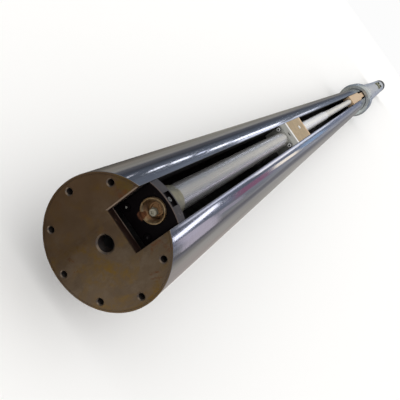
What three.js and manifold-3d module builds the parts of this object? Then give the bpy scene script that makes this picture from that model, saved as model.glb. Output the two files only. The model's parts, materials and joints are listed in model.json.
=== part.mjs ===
// Telescopic hydraulic cylinder: a slotted chrome tube slides in a long guide tube, driven by a
// slim two-stage cylinder that lies in the slot. Millimetres, +Z up (the slot faces up), axis along
// Y. The origin is the centre of the guide tube's closed end; the front face looks along -Y.
import * as THREE from 'three';
import { mergeVertices } from 'three/addons/utils/BufferGeometryUtils.js';
import Module from 'manifold-3d';

const wasm = await Module();
wasm.setup();

// ---- driving dimensions ----
const LENGTH = 6660;            // front face to closed end, fully extended
const GAP = 0.3;                // clearance between neighbouring pieces
const BIG_SIDES = 48;           // facets of the large round pieces
const SMALL_SIDES = 24;         // facets of the inner cylinder
const TINY_SIDES = 12;          // facets of screws and holes

const TUBE_R = 60;              // chrome tube, outside
const TUBE_BORE_R = 44;
const TAIL = 3360;              // inner end of the chrome tube
const SLOT_HALF = 20.7;
const SLOT_END = 3180;
const NOTCH_FLOOR = 19.2;       // flat floor of the notch in the end plate, above the axis

const LIP = 1.8;                // rim of the chrome tube round the end plate
const PLATE_T = 10.5;
const BOLT_CIRCLE_R = 51.9;
const BOLT_COUNT = 8;           // positions; the notch takes the one at the top
const BOLT_R = 2.7;
const BOLT_DEPTH = 26;
const CENTRE_HOLE_R = 7.5;

const AXIS_Z = 44.4;            // axis of the inner cylinder
const BLOCK_FRONT = 18;
const BLOCK_T = 15;
const PORT_R = 8.7;
const ADAPTER_R = 11.7;
const NUT_T = 17;
const BARREL_R = 12.9;
const BARREL_BORE_R = 11.8;
const BARREL_END = 546;
const FLANGE_FRONT = 531;
const FLANGE_REAR = 570;
const BRACKET_REAR = 711;

const STAGE_R = 11.4;
const STAGE_BORE_R = 10.5;
const STAGE_FRONT = 508;
const STAGE_END = 1104;
const PISTON_T = 18;
const STAGE_GLAND_T = 14;

const ROD_R = 10;
const ROD_FRONT = 1066;
const ANCHOR_FRONT = 1890;
const ANCHOR_SHOULDER = 2370;
const ANCHOR_END = 2850;
const ANCHOR_HALF = 19.2;
const TONGUE_HALF = 12;
const ROD_GRIP = 120;           // length of rod held in the anchor block

const RING_FRONT = 2640;
const RING_REAR = 2880;
const RING_R = 84;
const RING_BORE_R = 61.2;
const GUIDE_R = 63.6;           // guide tube, outside
const GUIDE_BORE_R = 61.2;
const SLEEVE_R = 67.2;
const SLEEVE_END = 3030;
const NIPPLE_AT = 3240;
const BOSS_FRONT = 4560;
const BOSS_REAR = 4860;
const BOSS_TOP = 74;
const PLUG_X = 14;
const PLUG_TOP = 83.6;
const COLLAR_FRONT = 6000;
const CAP_FRONT = 6480;
const COLLAR_R = 65.4;
const END_FLAT_R = 42;

// distance from the front face -> Y in the part's frame
const at = (fromFront) => fromFront - LENGTH;

// ---- materials ----
function metal(colour, roughness, metalness = 1) {
  return new THREE.MeshStandardMaterial({ color: colour, roughness, metalness });
}

const MATERIALS = {
  chrome: metal(0xc9cbd6, 0.06),
  faced_steel: metal(0x5b4f45, 0.6, 0.7),
  black_steel: metal(0x1c1b1b, 0.5, 0.5),
  yellow_zinc: metal(0xa08a4e, 0.4, 0.9),
  olive_zinc: metal(0x8d8a5a, 0.45, 0.9),
  satin_steel: metal(0xb9b7b2, 0.35),
  bright_steel: metal(0xe2e2e0, 0.22),
  rod_chrome: metal(0xcfcabd, 0.25),
  grey_steel: metal(0x85857f, 0.5, 0.8),
  tan_zinc: metal(0xa8927a, 0.5, 0.7),
  painted_steel: metal(0x7d8a94, 0.45, 0.4),
  ring_steel: metal(0x8b928e, 0.4, 0.8),
  screw_black: metal(0x1f1f21, 0.45, 0.6),
  bronze: metal(0x9c7a43, 0.4, 0.9),
  seal: metal(0x232323, 0.75, 0),
  white_nylon: metal(0xd8d6cf, 0.55, 0),
};

// ---- solids ----
function solidOf(geometry) {
  geometry.deleteAttribute('normal');
  geometry.deleteAttribute('uv');
  const merged = mergeVertices(geometry, 1e-4);
  return new wasm.Manifold(new wasm.Mesh({
    numProp: 3,
    vertProperties: new Float32Array(merged.attributes.position.array),
    triVerts: new Uint32Array(merged.index.array),
  }));
}

function geometryOf(solid) {
  const mesh = solid.getMesh();
  const geometry = new THREE.BufferGeometry();
  geometry.setAttribute('position', new THREE.BufferAttribute(mesh.vertProperties, 3));
  geometry.setIndex(new THREE.BufferAttribute(mesh.triVerts, 1));
  geometry.computeVertexNormals();
  return geometry;
}

// turned piece about an axis along Y at height z; profile: [radius, distance from the front face]
function turned(profile, sides, z = 0, x = 0) {
  const points = profile.map(([radius, along]) => new THREE.Vector2(radius, at(along)));
  const geometry = new THREE.LatheGeometry(points, sides);
  geometry.rotateY(Math.PI / sides * (sides % 4 ? 1 : 0));
  geometry.translate(x, 0, z);
  return solidOf(geometry);
}

function rod(radius, from, to, sides, z = 0, x = 0) {
  return turned([[0, from], [radius, from], [radius, to], [0, to]], sides, z, x);
}

function ring(inner, outer, from, to, sides, z = 0, x = 0) {
  return turned([[inner, from], [outer, from], [outer, to], [inner, to], [inner, from]], sides, z, x);
}

function box(x0, x1, from, to, z0, z1) {
  const geometry = new THREE.BoxGeometry(x1 - x0, to - from, z1 - z0);
  geometry.translate((x0 + x1) / 2, at((from + to) / 2), (z0 + z1) / 2);
  return solidOf(geometry);
}

// round post standing along Z
function post(radius, x, along, z0, z1, sides = TINY_SIDES) {
  const geometry = new THREE.CylinderGeometry(radius, radius, z1 - z0, sides);
  geometry.rotateX(Math.PI / 2);
  geometry.translate(x, at(along), (z0 + z1) / 2);
  return solidOf(geometry);
}

// block in the slot whose top follows the chrome tube's surface
function slotBlock(half, from, to, z0) {
  const follow = rod(TUBE_R, from - 1, to + 1, BIG_SIDES);
  return box(-half, half, from, to, z0, TUBE_R).intersect(follow);
}

// socket-head screw along Y, head towards the front, with a hexagon socket
function screwAlongY(x, z, headFrom, headR, headT, shankR, shankT) {
  const headTo = headFrom + headT;
  const end = headTo + shankT;
  const body = turned(
    [[0, headFrom], [headR, headFrom], [headR, headTo], [shankR, headTo], [shankR, end], [0, end]],
    TINY_SIDES, z, x);
  return body.subtract(rod(headR * 0.5, headFrom - 1, headFrom + headT * 0.6, 6, z, x));
}

// socket-head screw along Z, head at the top
function screwAlongZ(x, along, top, headR, headT, shankR, shankT) {
  const head = post(headR, x, along, top - headT, top);
  const shank = post(shankR, x, along, top - headT - shankT, top - headT / 2);
  const socket = post(headR * 0.5, x, along, top - headT * 0.6, top + 1, 6);
  return head.add(shank).subtract(socket);
}

// headless screw along Z with a hexagon socket
function grubScrew(radius, along, z0, z1, x = 0) {
  return post(radius, x, along, z0, z1).subtract(post(radius * 0.5, x, along, z1 - 1.4, z1 + 1, 6));
}

// ---- the part ----
const part = new THREE.Group();
part.name = 'telescopic_hydraulic_cylinder';

function addNode(name, solid, material) {
  const mesh = new THREE.Mesh(geometryOf(solid), MATERIALS[material]);
  mesh.name = name;
  part.add(mesh);
}

// ---- chrome tube and its end plate ----
function boltHoles(from, to, radius) {
  let holes = null;
  for (let i = 1; i < BOLT_COUNT; i += 1) {
    const angle = Math.PI / 2 + (i * 2 * Math.PI) / BOLT_COUNT;
    const x = BOLT_CIRCLE_R * Math.cos(angle);
    const z = BOLT_CIRCLE_R * Math.sin(angle);
    const hole = rod(radius, from, to, TINY_SIDES, z, x);
    holes = holes ? holes.add(hole) : hole;
  }
  return holes;
}

function chromeTube() {
  const seatR = TUBE_R - LIP;
  const tube = turned([
    [seatR, 0], [TUBE_R, 0], [TUBE_R, TAIL - 40], [TUBE_R - 4, TAIL - 40], [TUBE_R - 4, TAIL - 12],
    [TUBE_R - 1, TAIL - 12], [TUBE_R - 1, TAIL], [TUBE_BORE_R, TAIL], [TUBE_BORE_R, PLATE_T],
    [seatR, PLATE_T], [seatR, 0]], BIG_SIDES);
  const slot = box(-SLOT_HALF, SLOT_HALF, -1, SLOT_END, 0, TUBE_R + 2);
  return tube.subtract(slot).subtract(boltHoles(PLATE_T - 1, BOLT_DEPTH, BOLT_R));
}

function endPlate() {
  const plate = rod(TUBE_R - LIP - GAP, 0, PLATE_T - GAP, BIG_SIDES);
  const notch = box(-SLOT_HALF, SLOT_HALF, -1, PLATE_T + 1, NOTCH_FLOOR, TUBE_R + 2);
  const centre = rod(CENTRE_HOLE_R, -1, PLATE_T + 1, TINY_SIDES);
  return plate.subtract(notch).subtract(centre).subtract(boltHoles(-1, PLATE_T + 1, BOLT_R));
}

function tailPlug() {
  return rod(TUBE_BORE_R - GAP, TAIL - 30, TAIL, BIG_SIDES);
}

function tailGuideRing() {
  return ring(TUBE_R - 4 + GAP, GUIDE_BORE_R - GAP, TAIL - 40 + GAP, TAIL - 12 - GAP, BIG_SIDES);
}

addNode('slotted_tube', chromeTube(), 'chrome');
addNode('end_plate', endPlate(), 'faced_steel');
addNode('tail_plug', tailPlug(), 'grey_steel');
addNode('tail_guide_ring', tailGuideRing(), 'white_nylon');

// ---- head block at the front of the slot ----
const BLOCK_HALF = SLOT_HALF - GAP;
const BLOCK_REAR = BLOCK_FRONT + BLOCK_T;
const GALLERY_X = 15.2;
const GALLERY_Z = 25.5;
const GALLERY_R = 3.2;
const RECESS_HALF = 7;
const LOCK_R = 2.2;
const LOCK_AT = BLOCK_FRONT + BLOCK_T / 2;

function headBlock() {
  const bore = rod(ADAPTER_R + GAP, BLOCK_FRONT - 1, BLOCK_REAR + 1, SMALL_SIDES, AXIS_Z);
  const recess = box(-RECESS_HALF, RECESS_HALF, BLOCK_FRONT + 2, BLOCK_REAR - 2.5, TUBE_R - 2.4, TUBE_R + 1);
  const lockHole = post(LOCK_R + GAP, 0, LOCK_AT, AXIS_Z, TUBE_R + 1);
  let block = slotBlock(BLOCK_HALF, BLOCK_FRONT, BLOCK_REAR, NOTCH_FLOOR);
  block = block.subtract(bore).subtract(recess).subtract(lockHole);
  for (const side of [-1, 1]) {
    block = block.subtract(
      rod(GALLERY_R + GAP, BLOCK_FRONT - 1, BLOCK_FRONT + 9, TINY_SIDES, GALLERY_Z, side * GALLERY_X));
  }
  return block;
}

function portAdapter() {
  return ring(PORT_R, ADAPTER_R, BLOCK_FRONT - 2, BLOCK_REAR, SMALL_SIDES, AXIS_Z);
}

function portPlug() {
  const plug = rod(PORT_R - GAP, BLOCK_FRONT + 4, BLOCK_REAR, SMALL_SIDES, AXIS_Z);
  return plug.subtract(rod(PORT_R * 0.45, BLOCK_FRONT + 3, BLOCK_FRONT + 9, 6, AXIS_Z));
}

addNode('head_block', headBlock(), 'black_steel');
addNode('port_adapter', portAdapter(), 'yellow_zinc');
addNode('port_plug', portPlug(), 'white_nylon');
[-1, 1].forEach((side, i) => {
  const plug = rod(GALLERY_R, BLOCK_FRONT - 0.4, BLOCK_FRONT + 8, TINY_SIDES, GALLERY_Z, side * GALLERY_X);
  const socket = rod(GALLERY_R * 0.5, BLOCK_FRONT - 1, BLOCK_FRONT + 3, 6, GALLERY_Z, side * GALLERY_X);
  addNode(`gallery_plug_${i + 1}`, plug.subtract(socket), 'satin_steel');
});
addNode('lock_screw', grubScrew(LOCK_R, LOCK_AT, AXIS_Z + ADAPTER_R + GAP, TUBE_R - 1), 'satin_steel');

// ---- inner cylinder: barrel, flange and bracket ----
const BARREL_FRONT = BLOCK_REAR + GAP;
const WIPER_FRONT = FLANGE_REAR - 12;
const WIPER_R = 12.9;

function barrelNut() {
  return ring(BARREL_R + GAP, BARREL_R + 2.3, BARREL_FRONT, BARREL_FRONT + NUT_T, SMALL_SIDES, AXIS_Z);
}

function innerBarrel() {
  return ring(BARREL_BORE_R, BARREL_R, BARREL_FRONT, BARREL_END, SMALL_SIDES, AXIS_Z);
}

const FLANGE_BASE = 27;
const FLANGE_TOP = 58.6;
const BRACKET_TOP = 59.4;
const FLANGE_SCREW_X = 16;
const FLANGE_SCREW_Z = 53.5;
const VENT_R = 3.2;
const VENT_AT = 652;
const VENT_X = -2.4;

function barrelFlange() {
  let flange = box(-BLOCK_HALF, BLOCK_HALF, FLANGE_FRONT, FLANGE_REAR, FLANGE_BASE, FLANGE_TOP);
  flange = flange.subtract(rod(BARREL_R + GAP, FLANGE_FRONT - 1, BARREL_END + GAP, SMALL_SIDES, AXIS_Z));
  flange = flange.subtract(rod(STAGE_R + GAP, FLANGE_FRONT, FLANGE_REAR + 1, SMALL_SIDES, AXIS_Z));
  flange = flange.subtract(rod(WIPER_R + GAP, WIPER_FRONT, FLANGE_REAR + 1, SMALL_SIDES, AXIS_Z));
  for (const side of [-1, 1]) {
    flange = flange.subtract(
      rod(2.2, FLANGE_FRONT - 1, FLANGE_REAR + 1, TINY_SIDES, FLANGE_SCREW_Z, side * FLANGE_SCREW_X));
  }
  return flange;
}

function barrelWiper() {
  return ring(STAGE_R + GAP, WIPER_R, WIPER_FRONT + GAP, FLANGE_REAR, SMALL_SIDES, AXIS_Z);
}

function bracketBlock() {
  const front = FLANGE_REAR + GAP;
  const chamfer = box(-BLOCK_HALF - 1, BLOCK_HALF + 1, front - 6, front + 2.2, BRACKET_TOP - 2.2, TUBE_R + 2);
  let block = box(-BLOCK_HALF, BLOCK_HALF, front, BRACKET_REAR, FLANGE_BASE, BRACKET_TOP).subtract(chamfer);
  block = block.subtract(rod(STAGE_R + GAP, front - 1, BRACKET_REAR + 1, SMALL_SIDES, AXIS_Z));
  for (const side of [-1, 1]) {
    block = block.subtract(
      rod(2.2, front - 1, front + 24, TINY_SIDES, FLANGE_SCREW_Z, side * FLANGE_SCREW_X));
  }
  return block.subtract(post(VENT_R + GAP, VENT_X, VENT_AT, AXIS_Z, TUBE_R + 1));
}

addNode('barrel_nut', barrelNut(), 'olive_zinc');
addNode('inner_barrel', innerBarrel(), 'satin_steel');
addNode('barrel_flange', barrelFlange(), 'grey_steel');
addNode('barrel_wiper', barrelWiper(), 'seal');
addNode('bracket_block', bracketBlock(), 'tan_zinc');
[-1, 1].forEach((side, i) => {
  const screw = screwAlongY(
    side * FLANGE_SCREW_X, FLANGE_SCREW_Z, FLANGE_FRONT - 8 - GAP, 3.8, 8, 1.9, 60);
  addNode(`flange_screw_${i + 1}`, screw, 'screw_black');
});
addNode('bracket_screw', grubScrew(VENT_R, VENT_AT, AXIS_Z + STAGE_R + 0.8, BRACKET_TOP + 1.4, VENT_X), 'satin_steel');

// ---- middle stage ----
const STAGE_GLAND_FRONT = STAGE_END - STAGE_GLAND_T;

function stageTube() {
  return ring(STAGE_BORE_R, STAGE_R, STAGE_FRONT + PISTON_T + GAP, STAGE_GLAND_FRONT - GAP,
    SMALL_SIDES, AXIS_Z);
}

function grooved(outer, inner, from, to, sides) {
  const middle = (from + to) / 2;
  return turned([
    [inner, from], [outer, from], [outer, middle - 3], [outer - 1.2, middle - 3],
    [outer - 1.2, middle + 3], [outer, middle + 3], [outer, to], [inner, to], [inner, from]],
  sides, AXIS_Z);
}

function sealRing(outer, from, to, sides) {
  const middle = (from + to) / 2;
  return ring(outer - 1.2 + GAP, outer, middle - 3 + GAP, middle + 3 - GAP, sides, AXIS_Z);
}

const STAGE_PISTON_R = BARREL_BORE_R - GAP;

addNode('stage_tube', stageTube(), 'bright_steel');
addNode('stage_piston',
  grooved(STAGE_PISTON_R, 5, STAGE_FRONT, STAGE_FRONT + PISTON_T, SMALL_SIDES), 'bronze');
addNode('stage_piston_seal',
  sealRing(STAGE_PISTON_R, STAGE_FRONT, STAGE_FRONT + PISTON_T, SMALL_SIDES), 'seal');
addNode('stage_gland',
  ring(ROD_R + GAP, STAGE_R, STAGE_GLAND_FRONT, STAGE_END, SMALL_SIDES, AXIS_Z), 'grey_steel');

// ---- rod and its anchor block ----
const ROD_PISTON_R = STAGE_BORE_R - GAP;
const ROD_END = ANCHOR_FRONT + ROD_GRIP;
const PIN_AT = ANCHOR_FRONT + 60;
const PIN_R = 3;
const ANCHOR_BASE = 30;
const ANCHOR_TOP = 58;
const TONGUE_BASE = 34;
const TONGUE_TOP = 55;
const ANCHOR_SCREWS = [RING_FRONT + 70, RING_REAR - 70];
const ANCHOR_SCREW_R = 4;
const ANCHOR_HEAD_R = 6.5;
const HEAD_SEAT = RING_R - 9;

function innerRod() {
  const piston = ROD_FRONT + PISTON_T;
  const body = rod(ROD_R, piston + GAP, ROD_END, SMALL_SIDES, AXIS_Z);
  return body.subtract(post(PIN_R + GAP, 0, PIN_AT, AXIS_Z - 20, AXIS_Z + 20));
}

function anchorBlock() {
  const wide = box(-ANCHOR_HALF, ANCHOR_HALF, ANCHOR_FRONT, ANCHOR_SHOULDER, ANCHOR_BASE, ANCHOR_TOP);
  const tongue = box(-TONGUE_HALF, TONGUE_HALF, ANCHOR_SHOULDER - 1, ANCHOR_END, TONGUE_BASE, TONGUE_TOP);
  const follow = rod(TUBE_R - 1, ANCHOR_FRONT - 1, ANCHOR_END + 1, BIG_SIDES);
  let block = wide.intersect(follow).add(tongue);
  block = block.subtract(rod(ROD_R + GAP, ANCHOR_FRONT - 1, ROD_END + GAP, SMALL_SIDES, AXIS_Z));
  block = block.subtract(post(PIN_R + GAP, 0, PIN_AT, 24, TUBE_R));
  for (const along of ANCHOR_SCREWS) {
    block = block.subtract(post(ANCHOR_SCREW_R + GAP, 0, along, 38, TUBE_R));
  }
  return block;
}

addNode('rod', innerRod(), 'rod_chrome');
addNode('rod_piston',
  grooved(ROD_PISTON_R, 3, ROD_FRONT, ROD_FRONT + PISTON_T, SMALL_SIDES), 'bronze');
addNode('rod_piston_seal',
  sealRing(ROD_PISTON_R, ROD_FRONT, ROD_FRONT + PISTON_T, SMALL_SIDES), 'seal');
addNode('anchor_block', anchorBlock(), 'tan_zinc');
addNode('rod_pin', post(PIN_R, 0, PIN_AT, ANCHOR_BASE, ANCHOR_TOP - 0.4), 'satin_steel');

// ---- gland ring at the mouth of the guide tube ----
const GROOVE_R = 64.5;
const WIPER_SPAN = [RING_FRONT + 8, RING_FRONT + 20];
const BUSH_SPANS = [[RING_FRONT + 36, RING_FRONT + 56], [RING_REAR - 56, RING_REAR - 20]];

function glandRing() {
  const bevel = 8;
  const grooveAt = (RING_FRONT + RING_REAR) / 2 + 30;
  const profile = [
    [RING_BORE_R, RING_FRONT], [RING_R - bevel, RING_FRONT], [RING_R, RING_FRONT + bevel],
    [RING_R, grooveAt - 6], [RING_R - 3, grooveAt - 3], [RING_R - 3, grooveAt + 3],
    [RING_R, grooveAt + 6], [RING_R, RING_REAR - bevel], [RING_R - bevel, RING_REAR],
    [RING_BORE_R, RING_REAR]];
  for (const [from, to] of [WIPER_SPAN, ...BUSH_SPANS].reverse()) {
    profile.push([RING_BORE_R, to], [GROOVE_R, to], [GROOVE_R, from], [RING_BORE_R, from]);
  }
  profile.push([RING_BORE_R, RING_FRONT]);
  let body = turned(profile, BIG_SIDES);
  for (const along of ANCHOR_SCREWS) {
    body = body.subtract(post(ANCHOR_SCREW_R + GAP, 0, along, 50, RING_R + 1));
    body = body.subtract(post(ANCHOR_HEAD_R + GAP, 0, along, HEAD_SEAT, RING_R + 1));
  }
  return body;
}

function grooveRing([from, to]) {
  return ring(TUBE_R + GAP, GROOVE_R - GAP, from + GAP, to - GAP, BIG_SIDES);
}

addNode('gland_ring', glandRing(), 'ring_steel');
addNode('wiper_ring', grooveRing(WIPER_SPAN), 'seal');
BUSH_SPANS.forEach((span, i) => {
  addNode(`guide_bush_${i + 1}`, grooveRing(span), 'bronze');
});
ANCHOR_SCREWS.forEach((along, i) => {
  const screw = screwAlongZ(0, along, RING_R - 1, ANCHOR_HEAD_R, 8 - GAP, ANCHOR_SCREW_R, 36);
  addNode(`anchor_screw_${i + 1}`, screw, 'screw_black');
});

// ---- guide tube ----
function guideTube() {
  return ring(GUIDE_BORE_R, GUIDE_R, RING_REAR + GAP, CAP_FRONT, BIG_SIDES);
}

function headSleeve() {
  return turned([
    [GUIDE_R + GAP, RING_REAR + GAP], [SLEEVE_R, RING_REAR + GAP], [SLEEVE_R, SLEEVE_END - 5],
    [SLEEVE_R - 2.5, SLEEVE_END], [GUIDE_R + GAP, SLEEVE_END], [GUIDE_R + GAP, RING_REAR + GAP]],
  BIG_SIDES);
}

function endCollar() {
  return ring(GUIDE_R + GAP, COLLAR_R, COLLAR_FRONT, CAP_FRONT, BIG_SIDES);
}

function endCap() {
  const rise = LENGTH - CAP_FRONT - 60;
  const profile = [[0, CAP_FRONT + GAP], [COLLAR_R, CAP_FRONT + GAP]];
  for (let i = 0; i <= 6; i += 1) {
    const angle = (i / 6) * (Math.PI / 2);
    const radius = END_FLAT_R + (COLLAR_R - END_FLAT_R) * Math.cos(angle);
    profile.push([radius, LENGTH - rise + rise * Math.sin(angle)]);
  }
  profile.push([0, LENGTH]);
  return turned(profile, BIG_SIDES);
}

addNode('guide_tube', guideTube(), 'painted_steel');
addNode('head_sleeve', headSleeve(), 'painted_steel');
addNode('end_collar', endCollar(), 'grey_steel');
addNode('end_cap', endCap(), 'grey_steel');

// ---- fittings on top of the guide tube ----
const BOSS_MIDDLE = (BOSS_FRONT + BOSS_REAR) / 2;
const PORT_HOLE_R = 9;

function portBoss() {
  const seat = rod(GUIDE_R + GAP, BOSS_FRONT - 1, BOSS_REAR + 1, BIG_SIDES);
  let boss = box(-30, 30, BOSS_FRONT, BOSS_REAR, 52, BOSS_TOP).subtract(seat);
  for (const side of [-1, 1]) {
    boss = boss.subtract(post(PORT_HOLE_R + GAP, side * PLUG_X, BOSS_MIDDLE, BOSS_TOP - 8, BOSS_TOP + 1));
  }
  return boss;
}

function pluggedPort(x) {
  const shank = post(PORT_HOLE_R, x, BOSS_MIDDLE, BOSS_TOP - 7.6, BOSS_TOP + 1);
  const head = post(11.6, x, BOSS_MIDDLE, BOSS_TOP + GAP, PLUG_TOP, 6);
  return shank.add(head).subtract(post(PORT_HOLE_R * 0.5, x, BOSS_MIDDLE, PLUG_TOP - 5, PLUG_TOP + 1, 6));
}

function greaseNipple() {
  const base = post(6, 0, NIPPLE_AT, GUIDE_R + GAP, GUIDE_R + 5, 6);
  const neck = post(3.4, 0, NIPPLE_AT, GUIDE_R + 4, GUIDE_R + 10);
  return base.add(neck);
}

addNode('port_boss', portBoss(), 'yellow_zinc');
addNode('boss_plug_1', pluggedPort(-PLUG_X), 'screw_black');
addNode('boss_plug_2', pluggedPort(PLUG_X), 'screw_black');
addNode('grease_nipple', greaseNipple(), 'bright_steel');

export default part;
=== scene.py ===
import json
import math

import bmesh
import bpy
from mathutils import Matrix, Vector


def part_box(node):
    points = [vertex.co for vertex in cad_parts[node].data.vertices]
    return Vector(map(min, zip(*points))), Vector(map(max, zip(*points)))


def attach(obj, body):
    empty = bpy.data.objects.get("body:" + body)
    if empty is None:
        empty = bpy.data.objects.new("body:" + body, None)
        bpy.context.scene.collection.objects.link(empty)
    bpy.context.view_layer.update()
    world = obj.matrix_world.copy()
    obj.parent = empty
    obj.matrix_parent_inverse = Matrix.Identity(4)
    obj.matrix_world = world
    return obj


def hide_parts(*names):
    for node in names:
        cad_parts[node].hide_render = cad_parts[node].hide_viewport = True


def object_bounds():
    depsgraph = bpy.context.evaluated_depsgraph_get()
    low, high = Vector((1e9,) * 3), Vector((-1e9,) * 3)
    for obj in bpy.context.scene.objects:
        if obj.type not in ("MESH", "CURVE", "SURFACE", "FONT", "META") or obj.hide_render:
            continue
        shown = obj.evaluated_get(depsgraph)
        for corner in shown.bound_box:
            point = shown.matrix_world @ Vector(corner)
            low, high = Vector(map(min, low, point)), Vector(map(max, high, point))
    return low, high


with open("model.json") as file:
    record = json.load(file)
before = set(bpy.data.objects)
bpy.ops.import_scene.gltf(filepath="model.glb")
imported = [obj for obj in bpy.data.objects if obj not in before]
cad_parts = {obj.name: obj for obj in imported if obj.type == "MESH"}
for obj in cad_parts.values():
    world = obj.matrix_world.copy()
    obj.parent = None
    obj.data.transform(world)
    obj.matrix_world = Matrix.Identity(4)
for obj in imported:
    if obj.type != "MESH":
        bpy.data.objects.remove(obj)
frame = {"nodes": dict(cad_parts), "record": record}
cad_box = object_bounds()
SCENE = bpy.context.scene

# ---- places and sizes, from the frame (metres) ----
MM = 0.001
GAP = 0.3 * MM  # between a piece and what it sits in
RECORD = frame["record"]
BODY_OF = {n: body for body, nodes in RECORD["behaviour"]["bodies"].items() for n in nodes}


def ends(node):
    low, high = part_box(node)
    return low.y, high.y


def radius(node):
    low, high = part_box(node)
    return (high.x - low.x) / 2


def extent(node):
    """Start, end and radius of a round piece along the tube."""
    return *ends(node), radius(node)


def middle(node):
    low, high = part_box(node)
    return (low + high) / 2


TUBE_R = radius("slotted_tube")
FRONT, TAIL = ends("slotted_tube")
SLOT_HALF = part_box("head_block")[1].x + GAP
INNER = (0.0, middle("inner_barrel").z)  # axis of the slim cylinder, x and z
ROUND = 192  # sides of the large round pieces
FINE = 96  # sides of the slim cylinder
SMALL = 40  # sides of screws and holes
KNURLS = 36  # sides of a cap screw's head, every second one sunk


# ---- mesh building ----
def eased(profile, steps=3):
    """Rounds each corner of a closed or open profile: a point is (radius, y) or (radius, y, ease in mm)."""
    closed = profile[0][0] > 1e-9
    points = [Vector(p[:2]) for p in profile]
    out = []
    for i, row in enumerate(profile):
        ease = row[2] * MM if len(row) > 2 else 0
        ends_here = not closed and i in (0, len(profile) - 1)
        if not ease or ends_here:
            out.append(points[i])
            continue
        before = (points[i - 1] - points[i]).normalized() * ease
        after = (points[(i + 1) % len(points)] - points[i]).normalized() * ease
        for k in range(steps + 1):
            t = k / steps
            out.append(points[i] + before * (1 - t) ** 2 + after * t ** 2)
    return out


def finished(bm, name, sharp=32):
    bmesh.ops.remove_doubles(bm, verts=bm.verts, dist=1e-7)
    bmesh.ops.recalc_face_normals(bm, faces=bm.faces)
    mesh = bpy.data.meshes.new(name)
    bm.to_mesh(mesh)
    bm.free()
    smoothed(mesh, sharp)
    return added(name, mesh)


def added(name, data):
    """New object in the scene."""
    made = bpy.data.objects.new(name, data)
    SCENE.collection.objects.link(made)
    return made


def smoothed(mesh, sharp=32):
    mesh.shade_smooth()
    mesh.set_sharp_from_angle(angle=math.radians(sharp))


def turned(name, profile, sides=FINE, axis=(0.0, 0.0), upright=False):
    """Turned piece about a line along Y through axis (x, z), or along Z through (x, y) if upright."""
    bm = bmesh.new()
    rings = []
    for r, along in eased(profile):
        count = 1 if r < 1e-9 else sides
        ring = []
        for i in range(count):
            a = math.tau * i / sides
            across, up = axis[0] + r * math.cos(a), axis[1] + r * math.sin(a)
            ring.append(bm.verts.new((across, up, along) if upright else (across, along, up)))
        rings.append(ring)
    pairs = list(zip(rings, rings[1:]))
    if profile[0][0] > 1e-9:
        pairs.append((rings[-1], rings[0]))
    for low, high in pairs:
        for i in range(sides):
            j = (i + 1) % sides
            corners = [low[i % len(low)], low[j % len(low)], high[j % len(high)], high[i % len(high)]]
            corners = list(dict.fromkeys(corners))
            if len(corners) > 2:
                bm.faces.new(corners)
    return finished(bm, name)


def lofted(*loops):
    """Closed body through loops, each an outline of (x, z) points at its own y."""
    bm = bmesh.new()
    rows = [[bm.verts.new((x, y, z)) for x, z in outline] for y, outline in loops]
    bm.faces.new(rows[0])
    bm.faces.new(list(reversed(rows[-1])))
    for near, far in zip(rows, rows[1:]):
        for i in range(len(near)):
            j = (i + 1) % len(near)
            bm.faces.new((near[i], far[i], far[j], near[j]))
    bmesh.ops.recalc_face_normals(bm, faces=bm.faces)
    return bm


def prism(name, outline, y0, y1, ease=0.0, steps=2, corner=25):
    """Outline of (x, z) points run along Y, with its sharp edges rounded."""
    bm = lofted((y0, outline), (y1, outline))
    if ease:
        edges = [e for e in bm.edges if e.calc_face_angle(0) > math.radians(corner)]
        bmesh.ops.bevel(bm, geom=edges, offset=ease, segments=steps, profile=0.5, affect="EDGES")
    return finished(bm, name)


def box(name, low, high, ease=0.0):
    outline = [(low[0], low[2]), (high[0], low[2]), (high[0], high[2]), (low[0], high[2])]
    return prism(name, outline, low[1], high[1], ease)


def hexagon(name, across, y0, y1, axis, upright=False):
    return turned(name, [(0, y0), (across / math.sqrt(3), y0), (across / math.sqrt(3), y1), (0, y1)],
                  6, axis, upright)


def settled(piece, sharp=32):
    """Replaces the piece's mesh by the one that its modifiers make."""
    graph = bpy.context.evaluated_depsgraph_get()
    mesh = bpy.data.meshes.new_from_object(piece.evaluated_get(graph))
    old = piece.data
    piece.modifiers.clear()
    piece.data = mesh
    mesh.name = old.name
    bpy.data.meshes.remove(old)
    smoothed(mesh, sharp)
    return piece


def combined(piece, others, operation):
    for other in others:
        step = piece.modifiers.new(operation.lower(), "BOOLEAN")
        step.operation = operation
        step.solver = "EXACT"
        step.object = other
    settled(piece)
    for other in others:
        mesh = other.data
        bpy.data.objects.remove(other)
        bpy.data.meshes.remove(mesh)
    return piece


def cut(piece, *tools):
    return combined(piece, tools, "DIFFERENCE")


def joined(piece, *others):
    return combined(piece, others, "UNION")


def softened(piece, width, sharp):
    """Rounds the edges that are sharper than an angle."""
    ease = piece.modifiers.new("ease", "BEVEL")
    ease.width = width
    ease.segments = 2
    ease.limit_method = "ANGLE"
    ease.angle_limit = math.radians(sharp)
    return settled(piece)


def bar(name, r, start, end, axis, upright=False, sides=SMALL, eases=(0, 0)):
    """Plain round bar; eases are those of its two ends, in mm."""
    profile = [(0, start), (r, start, eases[0]), (r, end, eases[1]), (0, end)]
    return turned(name, profile, sides, axis, upright)


def hole(r, start, end, axis, upright=False, sides=SMALL):
    return bar("hole", r, start, end, axis, upright, sides)


def ring_profile(node, bore, eases):
    """Ring as long as its node; eases are those of its four corners, from the front of the bore outward."""
    y0, y1, outer = extent(node)
    corners = ((bore, y0), (outer, y0), (outer, y1), (bore, y1))
    return [corner + (ease,) for corner, ease in zip(corners, eases)]


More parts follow.
